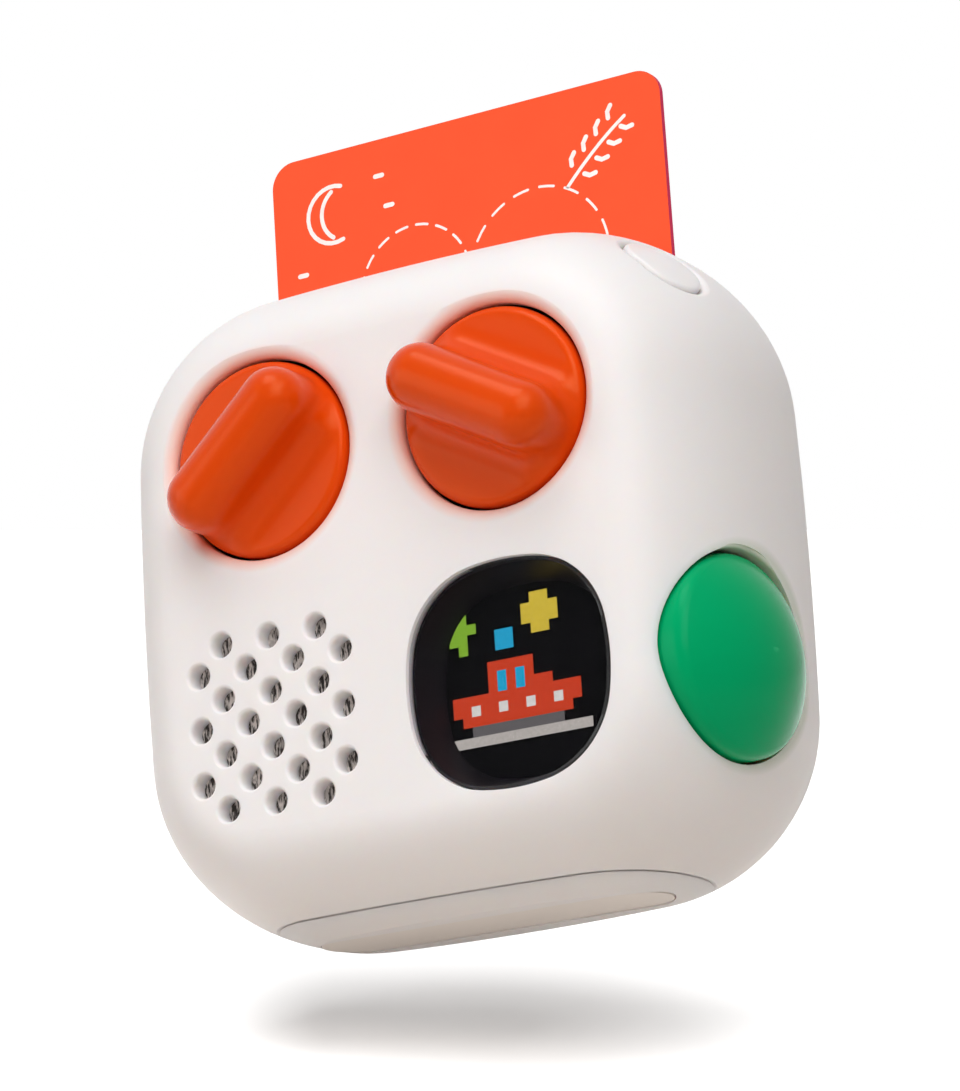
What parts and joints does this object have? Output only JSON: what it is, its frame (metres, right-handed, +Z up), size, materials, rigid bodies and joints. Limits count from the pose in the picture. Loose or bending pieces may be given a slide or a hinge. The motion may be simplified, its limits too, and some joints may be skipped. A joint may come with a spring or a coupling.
{
  "type": "audio story player",
  "caption": "Children's audio story player: soft square case with two orange knobs, pixel screen, speaker grille, green side button and a story card.",
  "frame": {"origin": "on the table, under the middle of the case", "axes": "+X to the right of the player, +Y from the front to the back, +Z up"},
  "size_m": [0.0813, 0.0495, 0.0984],
  "materials": {
    "shell_white": "satin",
    "inlay_grey": "matte",
    "screw_steel": "satin",
    "lens_black": "gloss",
    "plastic_black": "matte",
    "panel_black": "gloss",
    "board_green": "satin",
    "ribbon_amber": "satin",
    "cloth_grey": "matte",
    "foam_black": "matte",
    "cone_grey": "matte",
    "magnet_steel": "satin",
    "knob_orange": "satin",
    "encoder_steel": "satin",
    "shaft_grey": "satin",
    "plunger_white": "satin",
    "button_green": "satin",
    "switch_black": "satin",
    "card_orange": "satin",
    "battery_silver": "satin",
    "chip_black": "matte"
  },
  "bodies": {
    "case": {"front_shell": "shell_white", "rear_cover": "shell_white", "base_plate": "shell_white", "base_inlay": "inlay_grey", "base_screws": "screw_steel", "shell_screws": "screw_steel", "board_screws": "screw_steel", "cradle_screws": "screw_steel", "screen_lens": "lens_black", "screen_bezel": "plastic_black", "display_panel": "panel_black", "display_board": "board_green", "display_ribbon": "ribbon_amber", "speaker_mesh": "cloth_grey", "speaker_gasket": "foam_black", "speaker_frame": "plastic_black", "speaker_cone": "cone_grey", "speaker_magnet": "magnet_steel", "encoder_left": "encoder_steel", "encoder_right": "encoder_steel", "side_button_spring": "screw_steel", "side_switch": "switch_black", "side_switch_board": "board_green", "power_switch": "switch_black", "card_guide": "plastic_black", "card_antenna": "board_green", "battery_cradle": "plastic_black", "battery": "battery_silver", "battery_pad": "foam_black", "main_board": "board_green", "board_parts": "chip_black", "usb_port": "encoder_steel", "audio_jack": "plastic_black"},
    "left_plunger": {"encoder_plunger_left": "plunger_white"},
    "left_knob": {"knob_left": "knob_orange", "encoder_shaft_left": "shaft_grey"},
    "right_plunger": {"encoder_plunger_right": "plunger_white"},
    "right_knob": {"knob_right": "knob_orange", "encoder_shaft_right": "shaft_grey"},
    "side_push": {"side_button": "button_green"},
    "power_push": {"power_button": "shell_white"},
    "card": {"story_card": "card_orange"}
  },
  "joints": [
    {"name": "left_knob_press", "type": "slide", "parent": "case", "child": "left_plunger", "axis": [0, 1, 0], "range_m": [0, 0.0005], "stiffness_N_per_m": 2500, "springref_m": -0.001},
    {"name": "left_knob_turn", "type": "hinge", "parent": "left_plunger", "child": "left_knob", "pos_m": [-0.0154, -0.02075, 0.05385], "axis": [0, -1, 0], "continuous": true},
    {"name": "right_knob_press", "type": "slide", "parent": "case", "child": "right_plunger", "axis": [0, 1, 0], "range_m": [0, 0.0005], "stiffness_N_per_m": 2500, "springref_m": -0.001},
    {"name": "right_knob_turn", "type": "hinge", "parent": "right_plunger", "child": "right_knob", "pos_m": [0.0154, -0.02075, 0.05385], "axis": [0, -1, 0], "continuous": true},
    {"name": "side_button_press", "type": "slide", "parent": "case", "child": "side_push", "axis": [-0.9877, 0.1564, 0], "range_m": [0, 0.0012], "stiffness_N_per_m": 900, "springref_m": -0.003},
    {"name": "power_button_press", "type": "slide", "parent": "case", "child": "power_push", "axis": [-0.7071, 0, -0.7071], "range_m": [0, 0.0006], "stiffness_N_per_m": 1500, "springref_m": -0.001},
    {"name": "card_slide", "type": "slide", "parent": "case", "child": "card", "axis": [0, 0, 1], "range_m": [0, 0.062]}
  ]
}
